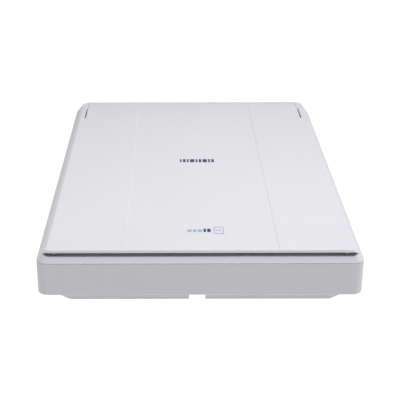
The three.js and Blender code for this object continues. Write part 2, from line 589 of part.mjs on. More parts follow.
screws('bracket_screw', BRACKET_SCREW, bracketSpots, BRACKET.z[1] + GAP, drive);

piece('carriage_frame', 'inner', carriageFrame(), carriage);
piece('sensor_housing', 'inner', sensorHousing(), carriage);
piece('sensor_cover_glass', 'glass', block([-108.7, 108.7], [-5.2, 5.2], [30.5, SENSOR.z[1]]), carriage);
piece('lens_array', 'inner', block([-106, 106], [-1, 1], [23, 29.9]), carriage);
piece('light_guide', 'glass', block([-106, 106], [2.2, 5], [26.8, 29.9]), carriage);
piece('sensor_board', 'board', block([-107.6, 107.6], [-5.6, 5.6], [20.6, 22.2]), carriage);
SIDES.forEach(([side, sign], i) => {
  const lift = coil({ r: 2.4, wire: 0.3, turns: 3, length: 3.4 });
  piece(`sensor_spring_${side}`, 'steel', lift, carriage, springSpots[i]);
  const pad = block([-1.5, 1.5], [-6, 6], [SENSOR.z[1] + GAP, GLASS.z[0] - GAP]);
  piece(`sensor_pad_${side}`, 'white', pad, carriage, [sign * 111, 0, 0]);
});

piece('lid_cover', 'lid', lidCover(), lid);
piece('lid_foam', 'foam', block([-MAT.x, MAT.x], MAT.y, FOAM_Z), lid);
piece('document_mat', 'white', block([-MAT.x, MAT.x], MAT.y, MAT.z), lid);
SIDES.forEach(([side, sign]) => {
  piece(`lid_bumper_${side}`, 'white', block(both(BUMPER.x, sign), BUMPER.y, BUMPER.z), lid);
  piece(`hinge_post_${side}`, 'lid', hingePost(sign), lid);
  const pin = bar('x', HINGE.pinR, both(HINGE.pinX, sign), [HINGE.y, HINGE.z], 16);
  piece(`hinge_pin_${side}`, 'steel', pin, lid);
});

export default scanner;
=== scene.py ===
# %% [markdown]
# # A slim flatbed scanner
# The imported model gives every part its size, place and motion. This script keeps that frame and gives the
# parts their finished surfaces: softened edges, moulded grain, prints, screws, springs, belt and cables.

import json
import math

import bmesh
import bpy
from mathutils import Matrix, Vector


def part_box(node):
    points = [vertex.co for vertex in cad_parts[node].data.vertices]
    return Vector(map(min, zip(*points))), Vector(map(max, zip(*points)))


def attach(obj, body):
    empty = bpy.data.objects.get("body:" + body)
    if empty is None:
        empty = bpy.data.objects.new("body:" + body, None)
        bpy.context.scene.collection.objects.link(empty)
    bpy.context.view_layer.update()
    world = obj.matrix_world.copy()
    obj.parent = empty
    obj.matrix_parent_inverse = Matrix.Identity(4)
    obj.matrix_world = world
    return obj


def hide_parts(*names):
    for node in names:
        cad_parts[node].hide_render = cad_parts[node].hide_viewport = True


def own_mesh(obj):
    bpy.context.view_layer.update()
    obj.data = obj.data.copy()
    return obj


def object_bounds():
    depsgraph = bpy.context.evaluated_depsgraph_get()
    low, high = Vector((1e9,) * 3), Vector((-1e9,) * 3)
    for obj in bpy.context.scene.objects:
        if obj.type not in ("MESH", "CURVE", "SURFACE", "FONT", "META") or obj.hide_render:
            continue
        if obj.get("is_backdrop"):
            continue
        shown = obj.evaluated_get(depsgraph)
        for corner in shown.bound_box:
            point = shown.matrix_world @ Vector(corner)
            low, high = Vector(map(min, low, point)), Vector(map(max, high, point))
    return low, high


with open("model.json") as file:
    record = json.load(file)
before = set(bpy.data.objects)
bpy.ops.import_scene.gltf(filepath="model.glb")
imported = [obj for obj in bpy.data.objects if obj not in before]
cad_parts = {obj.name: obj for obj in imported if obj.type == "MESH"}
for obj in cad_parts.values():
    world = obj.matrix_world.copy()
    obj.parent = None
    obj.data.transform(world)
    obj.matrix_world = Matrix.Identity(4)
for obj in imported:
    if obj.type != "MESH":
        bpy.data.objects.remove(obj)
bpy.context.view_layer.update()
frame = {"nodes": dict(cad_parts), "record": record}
NODES = frame["nodes"]
BODY = {node: body for body, members in frame["record"]["behaviour"]["bodies"].items() for node in members}
MM = 0.001

# %% [markdown]
# ## Camera, floor and light
# A flat product is seen best from in front of its short side, a little above it. The floor glows white like
# a light table, so the walls are lit from below. A low soft box overhead lights the lid, most of all its front
# half; a pinkish one lights the right flank, and a weak greenish one the left. The room itself is dim, so that
# the walls keep their shade, but the lens sees a white backdrop behind the floor's edge.

# %% Camera
scene = bpy.context.scene
scene.view_settings.view_transform = "Standard"

camera_data = bpy.data.cameras.new("camera")
camera_data.lens = 89.45
camera_data.sensor_width = 36
camera_data.shift_x = 0.065
camera_data.clip_end = 50
camera = bpy.data.objects.new("camera", camera_data)
CAMERA_PLACE = Vector((-20.2, -865.4, 384.1)) * MM
CAMERA_TILT = math.radians(90 - 23.66)
CAMERA_ROLL = math.radians(-0.12)
camera_turn = Matrix.Rotation(CAMERA_TILT, 4, "X") @ Matrix.Rotation(CAMERA_ROLL, 4, "Z")
camera.matrix_world = Matrix.Translation(CAMERA_PLACE) @ camera_turn
scene.collection.objects.link(camera)
scene.camera = camera

# %% Floor and lights
def soft_box(name, place, aim, width, height, watts, colour):
    """A rectangular light at place, facing aim."""
    data = bpy.data.lights.new(name, "AREA")
    data.shape = "RECTANGLE"
    data.size = width
    data.size_y = height
    data.energy = watts
    data.color = colour
    light = bpy.data.objects.new(name, data)
    toward = Vector(aim) - Vector(place)
    light.matrix_world = Matrix.Translation(place) @ toward.to_track_quat("-Z", "Y").to_matrix().to_4x4()
    scene.collection.objects.link(light)


world = bpy.data.worlds.new("studio")
world.use_nodes = True
sky = world.node_tree
ROOM_LIGHT, BACKDROP = 0.1, 1.0
room = sky.nodes["Background"]
room.inputs["Color"].default_value = (1, 1, 1, 1)
room.inputs["Strength"].default_value = ROOM_LIGHT
backdrop = sky.nodes.new("ShaderNodeBackground")
backdrop.inputs["Color"].default_value = (1, 1, 1, 1)
backdrop.inputs["Strength"].default_value = BACKDROP
light_path = sky.nodes.new("ShaderNodeLightPath")
choose = sky.nodes.new("ShaderNodeMixShader")
sky.links.new(light_path.outputs["Is Camera Ray"], choose.inputs[0])
sky.links.new(room.outputs[0], choose.inputs[1])
sky.links.new(backdrop.outputs[0], choose.inputs[2])
sky.links.new(choose.outputs[0], sky.nodes["World Output"].inputs["Surface"])
scene.world = world

soft_box("overhead", (0.05, -0.12, 0.95), (0.02, -0.05, 0), 0.9, 0.6, 10.4, (1, 1, 1))
soft_box("right_side", (1.3, -0.2, 0.35), (0, 0, 0.02), 0.9, 0.6, 4.5, (1, 0.9, 1))
soft_box("left_side", (-0.9, -1.2, 0.12), (-0.1, -0.15, 0.02), 0.5, 0.2, 0.15, (0.8, 1, 0.92))

REACH = 6
floor_corners = [(-REACH, -REACH, 0), (REACH, -REACH, 0), (REACH, REACH, 0), (-REACH, REACH, 0)]
floor_mesh = bpy.data.meshes.new("floor")
floor_mesh.from_pydata(floor_corners, [], [(0, 1, 2, 3)])
floor = bpy.data.objects.new("floor", floor_mesh)
scene.collection.objects.link(floor)
floor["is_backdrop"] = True

FLOOR_GREY, FLOOR_GLOW = 0.08, 0.99
floor_paper = bpy.data.materials.new("floor_paper")
floor_paper.use_nodes = True
paper = floor_paper.node_tree.nodes["Principled BSDF"]
paper.inputs["Base Color"].default_value = (FLOOR_GREY, FLOOR_GREY, FLOOR_GREY, 1)
paper.inputs["Roughness"].default_value = 1
paper.inputs["Emission Color"].default_value = (1, 1, 1, 1)
paper.inputs["Emission Strength"].default_value = FLOOR_GLOW
floor_mesh.materials.append(floor_paper)

# %% [markdown]
# ## A small language for finishes
# A material is a graph of nodes. `Finish` makes one material, its `node` method adds any node, and `Wire` wraps
# a socket so that sums on sockets read like sums on numbers.

# %% Wire and Finish
class Wire:
    """A node's output that can be added, multiplied, and taken from a number."""

    def __init__(self, finish, socket):
        self.finish = finish
        self.socket = socket

    def _sum(self, operation, first, second):
        return self.finish.node("ShaderNodeMath", {"operation": operation}, {0: first, 1: second})

    def __add__(self, other):
        return self._sum("ADD", self, other)

    def __mul__(self, other):
        return self._sum("MULTIPLY", self, other)

    def __rsub__(self, other):
        return self._sum("SUBTRACT", other, self)

    __radd__ = __add__
    __rmul__ = __mul__


class Finish:
    """One procedural material on a Principled shader."""

    def __init__(self, name, **uniform):
        self.material = bpy.data.materials.new(name)
        self.material.use_nodes = True
        self.nodes = self.material.node_tree.nodes
        self.links = self.material.node_tree.links
        self.shader = self.nodes["Principled BSDF"]
        for socket, value in uniform.items():
            self.shader.inputs[socket.replace("_", " ")].default_value = value

    def node(self, kind, settings=None, inputs=None, output=0):
        made = self.nodes.new(kind)
        for key, value in (settings or {}).items():
            setattr(made, key, value)
        for key, value in (inputs or {}).items():
            self._feed(made.inputs[key], value)
        return Wire(self, made.outputs[output])

    def _feed(self, socket, value):
        if isinstance(value, Wire):
            self.links.new(value.socket, socket)
        else:
            socket.default_value = value

    def set(self, socket, value):
        self._feed(self.shader.inputs[socket], value)

    def place(self, scale=(1, 1, 1)):
        """Object coordinates in metres, scaled."""
        here = self.node("ShaderNodeTexCoord", output="Object")
        return self.node("ShaderNodeMapping", {}, {"Vector": here, "Scale": scale})

    def noise(self, size, detail=2.0, scale=(1, 1, 1)):
        """Noise whose lumps are about size metres across."""
        here = self.place(scale)
        return self.node("ShaderNodeTexNoise", {}, {"Vector": here, "Scale": 1 / size, "Detail": detail})

    def above(self, value, limit):
        """1 where value is over limit, else 0."""
        return self.node("ShaderNodeMath", {"operation": "GREATER_THAN"}, {0: value, 1: limit})

    def between(self, mask, low, high):
        """Colour low where mask is 0, high where it is 1."""
        return self.node("ShaderNodeMix", {"data_type": "RGBA"}, {0: mask, 6: (*low, 1), 7: (*high, 1)}, 2)

    def bump(self, height, depth):
        """Raises the surface by height times depth metres."""
        normal = self.node("ShaderNodeBump", {}, {"Height": height, "Distance": depth, "Strength": 1.0})
        self.set("Normal", normal)


def tone(value):
    """An sRGB hex colour as linear numbers."""
    channels = [int(value[i:i + 2], 16) / 255 for i in (1, 3, 5)]
    return tuple(c / 12.92 if c <= 0.04045 else ((c + 0.055) / 1.055) ** 2.4 for c in channels)

# %% [markdown]
# ## Moulded plastic
# The case and lid are the same resin with a spark-eroded mould texture: fine pits about a third of a
# millimetre across that break up the gloss, over a very slight drift in tone and sheen from the mould's flow.

# %% Case and lid plastic
def moulded(name, colour, shade, roughness, pit=0.00035, depth=0.00001):
    finish = Finish(name, IOR=1.5)
    flow = finish.noise(0.09, 1)
    pits = finish.noise(pit, 1.5)
    lumps = finish.noise(pit * 5, 1)
    finish.set("Base Color", finish.between(flow, tone(shade), tone(colour)))
    finish.set("Roughness", flow * 0.05 + pits * 0.08 + (roughness - 0.065))
    finish.bump(pits + lumps * 0.4, depth)
    return finish.material


case_plastic = moulded("case_plastic", "#d9d8de", "#d6d5db", 0.5)
lid_plastic = moulded("lid_plastic", "#dfdee3", "#dcdbe0", 0.46)
black_plastic = moulded("black_plastic", "#2c2d30", "#242528", 0.5)
acetal = moulded("acetal", "#efebdd", "#e9e4d4", 0.4)
connector_plastic = moulded("connector_plastic", "#efece2", "#e8e4d8", 0.5)
print("plastics:", [m.name for m in (case_plastic, lid_plastic, black_plastic, acetal, connector_plastic)])

# %% [markdown]
# ## The visible shells
# The housing, frame, lid and hinge ears come from the frame with sharp edges. A moulded part has none: each
# edge has a small radius that catches a thread of light. A merged copy of each node gets that radius from a
# Bevel modifier on its real corners only, so the facets of its round stretches stay smooth.

# %% Soften the shells
CORNER = math.radians(28)
SAME_PLANE = math.radians(0.6)
SAME_POINT = 0.004 * MM
SEAM_REACH = 0.35 * MM
SEAM_SHARE = 0.35


def merged_copy(node, name):
    """The node's shape as a clean mesh: no doubled points, and flat areas in one face."""
    shape = bmesh.new()
    shape.from_mesh(NODES[node].data)
    bmesh.ops.remove_doubles(shape, verts=shape.verts, dist=SAME_POINT)
    bmesh.ops.dissolve_limit(shape, angle_limit=SAME_PLANE, verts=shape.verts, edges=shape.edges)
    mesh = bpy.data.meshes.new(name)
    points = [v.co.copy() for v in shape.verts]
    shape.verts.index_update()
    faces = [[v.index for v in face.verts] for face in shape.faces]
    shape.free()
    mesh.from_pydata(points, [], faces)
    return mesh


def add(mesh, name, material, body):
    """Puts a finished mesh in the scene as a piece that rides on a body."""
    piece = bpy.data.objects.new(name, mesh)
    scene.collection.objects.link(piece)
    mesh.materials.clear()
    mesh.materials.append(material)
    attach(piece, body)
    return piece


def stand_in(mesh, name, material, *nodes):
    """Adds a finished mesh in place of one or more nodes of the frame."""
    piece = add(mesh, name, material, BODY[nodes[0]])
    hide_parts(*nodes)
    return piece


def apply_modifiers(piece):
    """Bakes a piece's modifiers into its mesh."""
    bpy.context.view_layer.update()
    view = bpy.context.evaluated_depsgraph_get()
    mesh = bpy.data.meshes.new_from_object(piece.evaluated_get(view))
    piece.modifiers.clear()
    piece.data = mesh


def soften(mesh, radius, steps=2, seam=None):
    """Rounds the corners of a mesh, less at the height of a seam, and smooths the rest."""
    shape = bmesh.new()
    shape.from_mesh(mesh)
    weight = shape.edges.layers.float.new("bevel_weight_edge")
    for edge in shape.edges:
        if edge.is_manifold and edge.calc_face_angle() > CORNER:
            at_seam = seam and all(abs(v.co.z - seam) < SEAM_REACH for v in edge.verts)
            edge[weight] = SEAM_SHARE if at_seam else 1
    shape.to_mesh(mesh)
    shape.free()
    piece = bpy.data.objects.new("rounding", mesh)
    scene.collection.objects.link(piece)
    bevel = piece.modifiers.new("radius", "BEVEL")
    bevel.width = radius
    bevel.segments = steps
    bevel.limit_method = "WEIGHT"
    bevel.use_clamp_overlap = True
    weigh = piece.modifiers.new("flat faces lead", "WEIGHTED_NORMAL")
    weigh.weight = 100
    weigh.keep_sharp = False
    mesh.shade_smooth()
    apply_modifiers(piece)
    softened = piece.data
    bpy.data.objects.remove(piece)
    return softened


def refine(node, name, material, radius, seam=None):
    """Stands a softened copy of a node in its place."""
    mesh = soften(merged_copy(node, name), radius, seam=seam)
    stand_in(mesh, name, material, node)
    return len(mesh.polygons)


# the two halves of the case meet in a fine line, so their edges there are nearly sharp
case_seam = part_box("lower_housing")[1].z + 0.15 * MM
for node, name, finish, radius in (
    ("lower_housing", "housing_shell", case_plastic, 0.3),
    ("upper_frame", "frame_shell", case_plastic, 0.25),
    ("lid_cover", "lid_shell", lid_plastic, 0.25),
    ("hinge_post_left", "hinge_ear_left", lid_plastic, 0.25),
    ("hinge_post_right", "hinge_ear_right", lid_plastic, 0.25),
):
    seam = case_seam if finish is case_plastic else None
    print(name, refine(node, name, finish, radius * MM, seam), "faces")

# %% [markdown]
# ## Finishes for the inside
# Each material shows one mark of how it was made: grinding lines on a rod, spangle on zinc plate, cells in
# foam, copper under a green mask. Each finish adds that one mark.

# %% Metals
def metal(name, colour, shade, roughness, mark, mark_depth=0.000004, streak=(1, 1, 1)):
    finish = Finish(name, Metallic=1.0)
    lines = finish.noise(mark, 2, streak)
    tarnish = finish.noise(0.006, 2)
    finish.set("Base Color", finish.between(tarnish, tone(shade), tone(colour)))
    finish.set("Roughness", lines * 0.16 + tarnish * 0.08 + (roughness - 0.12))
    finish.bump(lines, mark_depth)
    return finish.material


screw_steel = metal("screw_steel", "#c9cbd0", "#aeb1b8", 0.34, 0.0006)
ground_steel = metal("ground_steel", "#d6d8dc", "#c3c6cb", 0.2, 0.0004, 0.000002, (1, 6, 1))
spring_steel = metal("spring_steel", "#a8aab0", "#8d9096", 0.35, 0.0005)
brass = metal("brass", "#dcb467", "#c39a4e", 0.3, 0.0005)
tinned = metal("tinned_pins", "#d9dadc", "#c4c6c9", 0.28, 0.0004)
gold = metal("gold_contacts", "#e6c877", "#d2ad55", 0.22, 0.0004)


def spangled(name):
    """Zinc plate: flat crystals a few millimetres across, each catching the light its own way."""
    finish = Finish(name, Metallic=1.0)
    crystals = finish.node("ShaderNodeTexVoronoi", {}, {"Vector": finish.place(), "Scale": 420}, "Color")
    grey = finish.node("ShaderNodeSeparateColor", {}, {0: crystals})
    finish.set("Base Color", finish.between(grey, tone("#b4b7bb"), tone("#cdd0d3")))
    finish.set("Roughness", grey * 0.14 + 0.3)
    finish.bump(finish.noise(0.0008), 0.000003)
    return finish.material


plated_steel = spangled("plated_steel")
print("metals ready")

# %% Glass, film and foam
def polished(name, colour, roughness, ior):
    finish = Finish(name, Base_Color=(*tone(colour), 1), IOR=ior, Transmission_Weight=1.0)
    finish.set("Roughness", finish.noise(0.03, 3) * 0.03 + roughness)
    return finish.material


clear_glass = polished("clear_glass", "#eef7f3", 0.01, 1.52)
light_pipe = polished("light_pipe", "#f3f6f8", 0.06, 1.49)


def film():
    finish = Finish("white_film", IOR=1.55)
    haze = finish.noise(0.02, 2)
    finish.set("Base Color", finish.between(haze, tone("#f1f1ee"), tone("#f7f7f5")))
    finish.set("Roughness", haze * 0.1 + 0.38)
    finish.bump(finish.noise(0.0006, 2), 0.000006)
    return finish.material


def open_cells():
    """Foam: round cells under half a millimetre across, with painted shade darkening their hollows."""
    finish = Finish("foam", Sheen_Weight=0.15)
    cells = finish.node("ShaderNodeTexVoronoi", {}, {"Vector": finish.place(), "Scale": 2200}, "Distance")
    # the darker tone at each cell's centre is painted shade in its hollow; the bump there is real relief
    finish.set("Base Color", finish.between(cells, tone("#c9c9c5"), tone("#e6e6e2")))
    finish.set("Roughness", cells * 0.1 + 0.85)
    finish.bump(cells, 0.0002)
    return finish.material


white_film = film()
foam = open_cells()
print("glass, film and foam ready")

# %% Rubber, board, ribbon, ink
def elastomer(name, colour, shade, grain):
    finish = Finish(name, IOR=1.5)
    dust = finish.noise(0.004, 3)
    finish.set("Base Color", finish.between(dust, tone(shade), tone(colour)))
    finish.set("Roughness", dust * 0.12 + 0.7)
    finish.bump(finish.noise(grain, 2), 0.00002)
    return finish.material


rubber = elastomer("rubber", "#8a8a8f", "#7d7d82", 0.0005)
belt_rubber = elastomer("belt_rubber", "#262628", "#1c1c1e", 0.0003)


def laminate():
    """Green mask over copper: runs of tracks, across in one region and along in the next, show paler."""
    finish = Finish("circuit_board", IOR=1.5, Coat_Weight=0.3)
    here = finish.place()
    region = finish.node("ShaderNodeTexVoronoi", {"distance": "CHEBYCHEV"},
                         {"Vector": here, "Scale": 95}, "Color")
    parts = finish.node("ShaderNodeSeparateColor", {}, {0: region})
    second = Wire(finish, parts.socket.node.outputs[1])
    runs = [finish.node("ShaderNodeTexWave", {"bands_direction": way}, {"Vector": here, "Scale": 240}, "Fac")
            for way in "XY"]
    turned = finish.above(parts, 0.5)
    lines = runs[0] * turned + runs[1] * (1.0 - turned)
    copper = finish.above(lines, 0.72)
    busy = finish.above(second, 0.3)
    track = copper * busy
    mottle = finish.noise(0.004, 2)
    finish.set("Base Color", finish.between(track, tone("#1c5d40"), tone("#2f7d56")))
    finish.set("Roughness", mottle * 0.1 + 0.3)
    finish.bump(track + mottle * 0.1, 0.00002)
    return finish.material


def ribbon():
    """Fine conductors show as grey lines under a white film."""
    finish = Finish("ribbon_film", IOR=1.5)
    wave = finish.node("ShaderNodeTexWave", {"bands_direction": "X"}, {
        "Vector": finish.place(), "Scale": 314, "Distortion": 0}, "Fac")
    finish.set("Base Color", finish.between(wave, tone("#c3c7c9"), tone("#eeefee")))
    finish.set("Roughness", wave * 0.1 + 0.35)
    return finish.material


def ink(name, colour):
    """Pad-printed ink: thin enough that its tone wavers a little."""
    finish = Finish(name, IOR=1.45)
    cover = finish.noise(0.0009, 2)
    thin, thick = (tuple(c * share for c in tone(colour)) for share in (0.9, 1.1))
    finish.set("Base Color", finish.between(cover, thin, thick))
    finish.set("Roughness", cover * 0.1 + 0.35)
    return finish.material


circuit_board = laminate()
ribbon_film = ribbon()
ink_slate = ink("ink_slate", "#4b5568")
ink_sky = ink("ink_sky", "#86bcd8")
ink_navy = ink("ink_navy", "#3a4a80")
ink_mist = ink("ink_mist", "#a3b0c8")
ink_grey = ink("ink_grey", "#8d8f96")
print(len(bpy.data.materials), "materials so far")

# %% [markdown]
# ## Parts kept from the frame, with worked edges
# Rods, pins, pulleys, brackets and housings already have the right shape. They get the same treatment as the
# shells: a small radius on the true corners, and smooth round faces. Glass, film,
# boards and the lens bar keep their edges.

# %% Refine the inner parts
REFINED = [
    ("guide_rod", "ground_rod", ground_steel, 0.4),
    ("rod_clip_front", "front_clip", black_plastic, 0.3),
    ("rod_clip_rear", "rear_clip", black_plastic, 0.3),
    ("cable_connector", "ribbon_header", connector_plastic, 0.2),
    ("usb_socket", "socket_shell", plated_steel, 0.3),
    ("tensioner_bracket", "tension_plate", plated_steel, 0.2),
    ("drive_axle", "drive_spindle", ground_steel, 0.2),
    ("reduction_pin", "gear_spindle", ground_steel, 0.2),
    ("motor_bracket", "motor_plate", plated_steel, 0.15),
    ("motor_body", "motor_can", plated_steel, 0.5),
    ("motor_shaft", "rotor_shaft", ground_steel, 0.15),
    ("motor_pinion", "brass_pinion", brass, 0.06),
    ("idler_pulley", "belt_idler", acetal, 0.15),
    ("drive_pulley", "belt_driver", acetal, 0.06),
    ("reduction_gear", "two_step_gear", acetal, 0.06),
    ("carriage_frame", "carriage_tray", black_plastic, 0.3),
    ("sensor_housing", "sensor_case", black_plastic, 0.3),
    ("sensor_pad_left", "glide_left", acetal, 0.15),
    ("sensor_pad_right", "glide_right", acetal, 0.15),
    ("lid_bumper_left", "bumper_left", rubber, 0.3),
    ("lid_bumper_right", "bumper_right", rubber, 0.3),
    ("hinge_pin_left", "pin_left", ground_steel, 0.25),
    ("hinge_pin_right", "pin_right", ground_steel, 0.25),
]
refined_faces = sum(refine(node, name, finish, radius * MM) for node, name, finish, radius in REFINED)

KEPT = {
    "scan_glass": clear_glass,
    "sensor_cover_glass": clear_glass,
    "light_guide": light_pipe,
    "calibration_strip": white_film,
    "document_mat": white_film,
    "main_board": circuit_board,
    "sensor_board": circuit_board,
    "lens_array": black_plastic,
}
for node, finish in KEPT.items():
    NODES[node].data.materials.clear()
    NODES[node].data.materials.append(finish)
print(len(REFINED), "refined in", refined_faces, "faces,", len(KEPT), "kept as they are")

# %% [markdown]
# ## Recipes in Geometry Nodes
# What repeats is made by a recipe: a node tree with named sizes. `Recipe` builds the tree, and `grow` runs it
# once and keeps the plain mesh. Every recipe ends by realising its copies and setting their material.

# %% Recipe and grow
class Recipe:
    """A Geometry Nodes tree with named sizes."""

    def __init__(self, name, **sizes):
        self.tree = bpy.data.node_groups.new(name, "GeometryNodeTree")
        face = self.tree.interface
        face.new_socket("Geometry", in_out="INPUT", socket_type="NodeSocketGeometry")
        face.new_socket("Geometry", in_out="OUTPUT", socket_type="NodeSocketGeometry")
        self.keys = {}
        kinds = {int: "NodeSocketInt", float: "NodeSocketFloat"}
        for label, value in sizes.items():
            socket = face.new_socket(label, in_out="INPUT", socket_type=kinds[type(value)])
            socket.default_value = value
            self.keys[label] = socket.identifier
        slot = face.new_socket("finish", in_out="INPUT", socket_type="NodeSocketMaterial")
        self.keys["finish"] = slot.identifier
        self.inlet = self.tree.nodes.new("NodeGroupInput")

    def size(self, label):
        return self.inlet.outputs[label]

    def node(self, kind, settings=None, inputs=None, output=0):
        made = self.tree.nodes.new(kind)
        for key, value in (settings or {}).items():
            setattr(made, key, value)
        for key, value in (inputs or {}).items():
            if isinstance(value, list):
                for link in value:
                    self.tree.links.new(link, made.inputs[key])
            elif isinstance(value, bpy.types.NodeSocket):
                self.tree.links.new(value, made.inputs[key])
            else:
                made.inputs[key].default_value = value
        return made.outputs[output]

    def sum(self, operation, *values):
        return self.node("ShaderNodeMath", {"operation": operation}, dict(enumerate(values)))

    def vector(self, x=0.0, y=0.0, z=0.0):
        return self.node("ShaderNodeCombineXYZ", {}, {0: x, 1: y, 2: z})

    def move(self, geometry, place):
        return self.node("GeometryNodeTransform", {}, {"Geometry": geometry, "Translation": place})

    def join(self, *parts):
        return self.node("GeometryNodeJoinGeometry", {}, {0: list(parts)})

    def end(self, geometry):
        real = self.node("GeometryNodeRealizeInstances", {}, {0: geometry})
        done = self.node("GeometryNodeSetMaterial", {}, {"Geometry": real, "Material": self.size("finish")})
        outlet = self.tree.nodes.new("NodeGroupOutput")
        self.tree.links.new(done, outlet.inputs[0])
        return self


def grow(recipe, points, finish, **sizes):
    """Runs a recipe on a few points, given in millimetres, and returns the finished mesh."""
    seeds = bpy.data.meshes.new("seeds")
    seeds.from_pydata([Vector(point) * MM for point in points], [], [])
    piece = bpy.data.objects.new("growing", seeds)
    scene.collection.objects.link(piece)
    modifier = piece.modifiers.new("recipe", "NODES")
    modifier.node_group = recipe.tree
    modifier[recipe.keys["finish"]] = finish
    for label, value in sizes.items():
        modifier[recipe.keys[label]] = value
    apply_modifiers(piece)
    mesh = piece.data
    bpy.data.objects.remove(piece)
    return mesh


def together(meshes):
    """Several meshes as one."""
    whole = bmesh.new()
    for mesh in meshes:
        whole.from_mesh(mesh)
    mesh = meshes[0].copy()
    whole.to_mesh(mesh)
    whole.free()
    return mesh


def centre(node):
    """The middle of a node's box, in millimetres."""
    low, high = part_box(node)
    return (Vector(low) + Vector(high)) / 2 / MM


def between_levels(node):
    """The heights of a node's bottom and top, in millimetres."""
    low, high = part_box(node)
    return low[2] / MM, high[2] / MM

# %% [markdown]
# ## Screws
# A cross-recess screw is a turned blank: a domed head and a threaded shank, with a cross pressed into the
# head. The recipe shapes a cylinder ring by ring, cuts the cross, and puts a copy on each point with its own
# turn, because no two screws stop at the same angle.

# %% Screw recipe
THREAD, THREAD_SHARE = 0.25 * MM, 0.1
ARM_LONG, ARM_THIN = 1.1, 0.26


def screw_recipe(name, downward):
    make = Recipe(name, head_radius=2.3 * MM, head_height=1.3 * MM, shank_radius=1.2 * MM,
                  length=5.0 * MM, seed=3)
    head, height = make.size("head_radius"), make.size("head_height")
    shank, length = make.size("shank_radius"), make.size("length")
    total = make.sum("ADD", height, length)
    blank = make.node("GeometryNodeMeshCylinder", {"fill_type": "NGON"}, {
        "Vertices": 24, "Side Segments": 40, "Radius": 1.0, "Depth": total})
    raised = make.move(blank, make.vector(z=make.sum("MULTIPLY", make.sum("SUBTRACT", height, length), 0.5)))
    here = make.node("GeometryNodeInputPosition")
    parts = make.node("ShaderNodeSeparateXYZ", {}, {0: here})
    x, y, z = parts, parts.node.outputs[1], parts.node.outputs[2]
    share = make.sum("DIVIDE", z, height)
    squared = make.sum("MULTIPLY", share, share)
    dome = make.sum("SQRT", make.sum("SUBTRACT", 1.0, make.sum("MULTIPLY", squared, 0.5)))
    ridge = make.sum("MULTIPLY", make.sum("PINGPONG", z, THREAD), THREAD_SHARE / THREAD)
    thread = make.sum("ADD", 1.0 - THREAD_SHARE, ridge)
    in_head = make.sum("GREATER_THAN", z, 0.0)
    head_r = make.sum("MULTIPLY", head, dome)
    shank_r = make.sum("MULTIPLY", shank, thread)
    radius = make.sum("ADD", make.sum("MULTIPLY", in_head, head_r),
                      make.sum("MULTIPLY", make.sum("SUBTRACT", 1.0, in_head), shank_r))
    shaped = make.node("GeometryNodeSetPosition", {}, {
        "Geometry": raised,
        "Position": make.vector(make.sum("MULTIPLY", x, radius), make.sum("MULTIPLY", y, radius), z)})
    long, thin = make.sum("MULTIPLY", head, ARM_LONG), make.sum("MULTIPLY", head, ARM_THIN)
    arms = [make.node("GeometryNodeMeshCube", {}, {"Size": size}) for size in (
        make.vector(long, thin, height), make.vector(thin, long, height))]
    cross = make.move(make.node("GeometryNodeMeshBoolean", {"operation": "UNION"}, {"Mesh 2": arms}),
                      make.vector(z=height))
    made = make.node("GeometryNodeMeshBoolean", {"operation": "DIFFERENCE"},
                     {"Mesh 1": shaped, "Mesh 2": cross})
    turn = make.node("FunctionNodeRandomValue", {"data_type": "FLOAT"}, {
        2: 0.0, 3: math.pi / 2, "Seed": make.size("seed")}, 1)
    tip = math.pi if downward else 0.0
    copies = make.node("GeometryNodeInstanceOnPoints", {}, {
        "Points": make.inlet.outputs[0], "Instance": made, "Rotation": make.vector(tip, 0.0, turn)})
    return make.end(copies)


upright = screw_recipe("screws, heads up", False)
hanging = screw_recipe("screws, heads down", True)
HEADS = {"board_screw": 1.4, "motor_screw": 1.3, "bracket_screw": 1.3}
fixings = []
for kind, head_height in HEADS.items():
    nodes = [f"{kind}_{i}" for i in (1, 2)]
    low, high = between_levels(nodes[0])
    spots = [(centre(node).x, centre(node).y, high - head_height) for node in nodes]
    mesh = grow(upright, spots, screw_steel, head_height=head_height * MM,
                length=(high - low - head_height) * MM, seed=len(fixings) + 1)
    fixings.append(mesh)
    stand_in(mesh, f"{kind}s", screw_steel, *nodes)

case_nodes = [f"case_screw_{i}" for i in range(1, 7)]
low, high = between_levels(case_nodes[0])
CASE_HEAD = 1.9
spots = [(centre(node).x, centre(node).y, low + CASE_HEAD) for node in case_nodes]
case_screws = grow(hanging, spots, screw_steel, head_radius=2.8 * MM, head_height=CASE_HEAD * MM,
                   shank_radius=1.4 * MM, length=(high - low - CASE_HEAD) * MM, seed=9)
stand_in(case_screws, "case_screws", screw_steel, *case_nodes)
print("screws:", sum(len(m.polygons) for m in fixings) + len(case_screws.polygons), "faces")

# %% [markdown]
# ## Belt
# A timing belt is a flat band with moulded teeth inside. The recipe draws its track, a rectangle whose ends
# are rounded right off, sweeps the band along it, and puts a tooth at each pitch, turned along the track.

# %% Belt recipe
TOOTH_DEPTH, TOOTH_INSET = 1.0 * MM, 0.55 * MM


